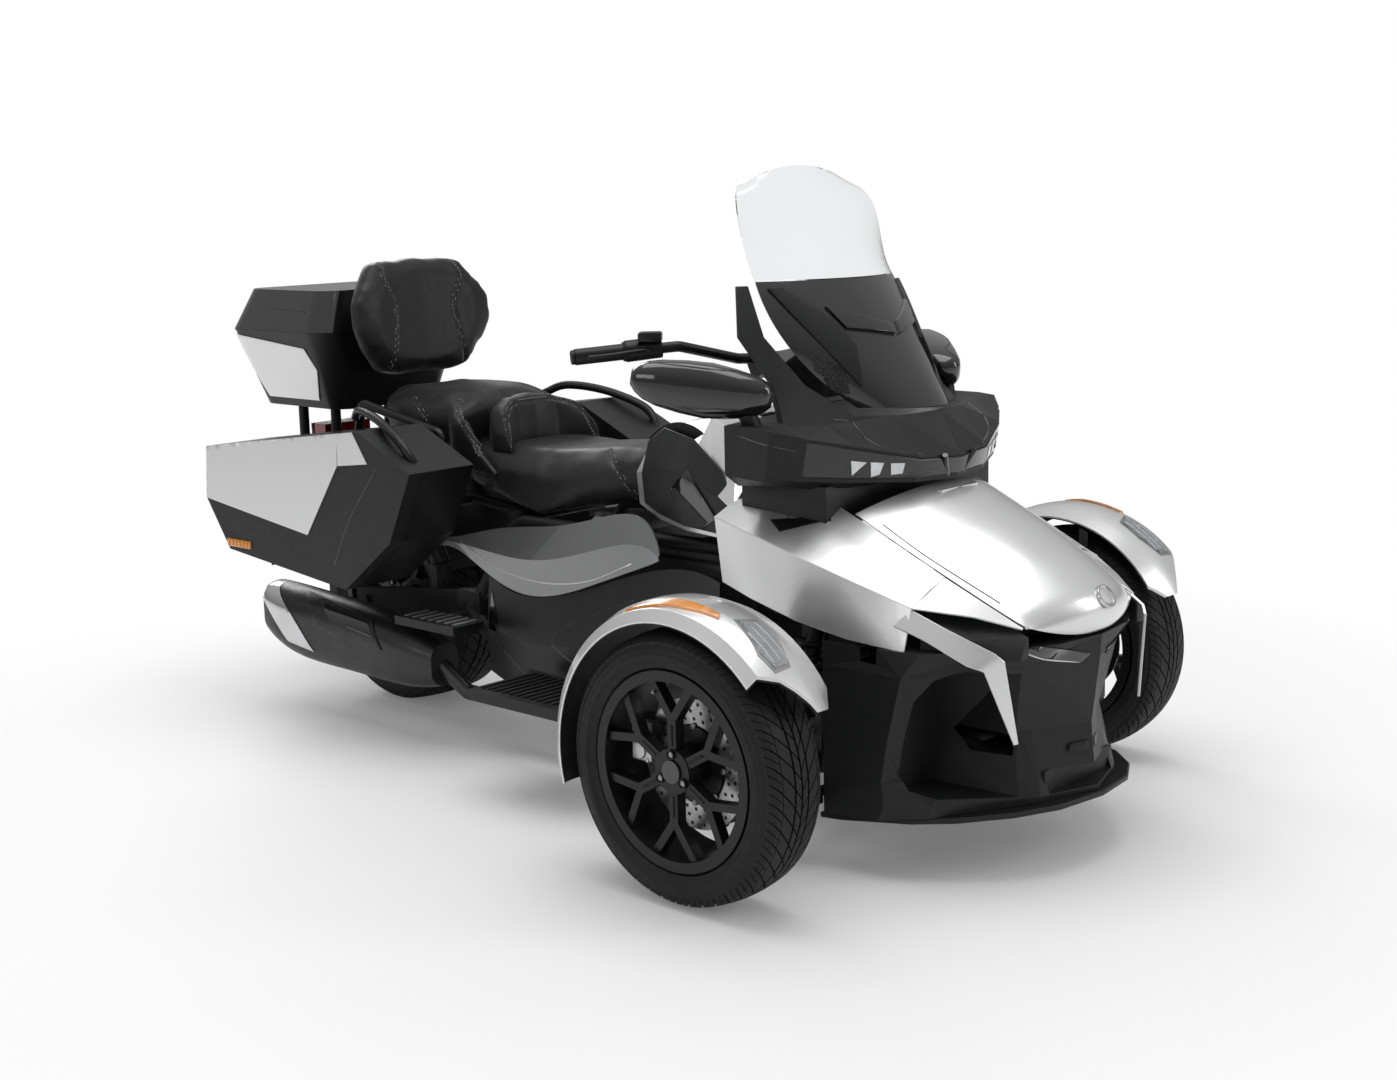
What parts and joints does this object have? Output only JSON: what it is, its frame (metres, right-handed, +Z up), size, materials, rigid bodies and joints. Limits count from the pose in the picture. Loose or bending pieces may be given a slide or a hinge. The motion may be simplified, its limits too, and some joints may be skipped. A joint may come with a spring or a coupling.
{
  "type": "reverse trike",
  "caption": "Touring reverse trike with two steered front wheels, one belt-driven rear wheel, a tall screen, stepped seats, a front boot, hard side cases and a top case.",
  "frame": {"origin": "on the ground under the middle of the overall box", "axes": "+X forward, +Y to the vehicle's left, +Z up"},
  "size_m": [2.833, 1.553, 1.4522],
  "materials": {
    "silver_paint": "gloss",
    "grey_paint": "metallic",
    "black_plastic": "fine grain",
    "gloss_black": "gloss",
    "clear_screen": "clear",
    "dark_lens": "gloss",
    "red_lens": "gloss",
    "black_leather": "grained",
    "tyre_rubber": "matte",
    "rim_black": "satin",
    "frame_black": "satin",
    "cast_alloy": "cast",
    "muffler_steel": "satin",
    "steel": "satin"
  },
  "bodies": {
    "chassis": {"frame": "frame_black", "engine_block": "cast_alloy", "nose_fascia": "black_plastic", "splitter_lip": "black_plastic", "lower_grille": "black_plastic", "boot_tub": "black_plastic", "shoulder_panels": "silver_paint", "side_panels": "grey_paint", "lower_side_panels": "black_plastic", "console_cover": "silver_paint", "rider_seat": "black_leather", "rider_backrest": "black_leather", "passenger_seat": "black_leather", "passenger_backrest": "black_leather", "upper_fairing": "black_plastic", "headlamp_bar": "dark_lens", "windscreen": "clear_screen", "screen_panel": "gloss_black", "instrument_panel": "gloss_black", "mirror_pods": "gloss_black", "front_suspension": "frame_black", "swingarm": "frame_black", "rear_fender": "black_plastic", "exhaust": "muffler_steel", "footboards": "black_plastic", "side_cases": "black_plastic", "top_case": "black_plastic", "grab_rails": "black_plastic", "tail_lamps": "red_lens"},
    "boot": {"boot_lid": "silver_paint"},
    "left_case_lid": {"side_case_lid_left": "silver_paint"},
    "right_case_lid": {"side_case_lid_right": "silver_paint"},
    "top_lid": {"top_case_lid": "gloss_black"},
    "steering": {"handlebar": "black_plastic"},
    "rack": {"tie_rods": "steel"},
    "left_knuckle": {"knuckle_left": "cast_alloy", "front_fender_left": "silver_paint"},
    "right_knuckle": {"knuckle_right": "cast_alloy", "front_fender_right": "silver_paint"},
    "left_wheel": {"tyre_left": "tyre_rubber", "rim_left": "rim_black"},
    "right_wheel": {"tyre_right": "tyre_rubber", "rim_right": "rim_black"},
    "rear_wheel": {"tyre_rear": "tyre_rubber", "rim_rear": "rim_black"}
  },
  "joints": [
    {"name": "boot_lid_hinge", "type": "hinge", "parent": "chassis", "child": "boot", "pos_m": [1.03, 0, 0.745], "axis": [0, -1, 0], "range_deg": [0, 55]},
    {"name": "left_case_lid_hinge", "type": "hinge", "parent": "chassis", "child": "left_case_lid", "pos_m": [-0.7, 0.4405, 0.414], "axis": [-1, 0, 0], "range_deg": [0, 60]},
    {"name": "right_case_lid_hinge", "type": "hinge", "parent": "chassis", "child": "right_case_lid", "pos_m": [-0.7, -0.4405, 0.414], "axis": [1, 0, 0], "range_deg": [0, 60]},
    {"name": "top_case_lid_hinge", "type": "hinge", "parent": "chassis", "child": "top_lid", "pos_m": [-1.094, 0.262, 1.0415], "axis": [-1, 0, 0], "range_deg": [0, 75]},
    {"name": "handlebar_turn", "type": "hinge", "parent": "chassis", "child": "steering", "pos_m": [0.505, 0, 1], "axis": [-0.4226, 0, 0.9063], "range_deg": [-30, 30]},
    {"name": "rack_slide", "type": "slide", "parent": "chassis", "child": "rack", "axis": [0, -1, 0], "range_m": [-0.0495, 0.0495]},
    {"name": "left_wheel_steer", "type": "hinge", "parent": "chassis", "child": "left_knuckle", "pos_m": [0.8865, 0.625, 0.281], "axis": [0, 0, 1], "range_deg": [-25.6, 25.6]},
    {"name": "right_wheel_steer", "type": "hinge", "parent": "chassis", "child": "right_knuckle", "pos_m": [0.8865, -0.625, 0.281], "axis": [0, 0, 1], "range_deg": [-25.6, 25.6]},
    {"name": "left_wheel_spin", "type": "hinge", "parent": "left_knuckle", "child": "left_wheel", "pos_m": [0.8865, 0.692, 0.281], "axis": [0, 1, 0], "continuous": true},
    {"name": "right_wheel_spin", "type": "hinge", "parent": "right_knuckle", "child": "right_wheel", "pos_m": [0.8865, -0.692, 0.281], "axis": [0, 1, 0], "continuous": true},
    {"name": "rear_wheel_spin", "type": "hinge", "parent": "chassis", "child": "rear_wheel", "pos_m": [-0.8275, 0, 0.303], "axis": [0, 1, 0], "continuous": true}
  ],
  "couplings": [
    {"joint": "rack_slide", "follows": "handlebar_turn", "m_per_rad": 0.0935},
    {"joint": "left_wheel_steer", "follows": "handlebar_turn", "ratio": 0.85},
    {"joint": "right_wheel_steer", "follows": "handlebar_turn", "ratio": 0.85}
  ]
}
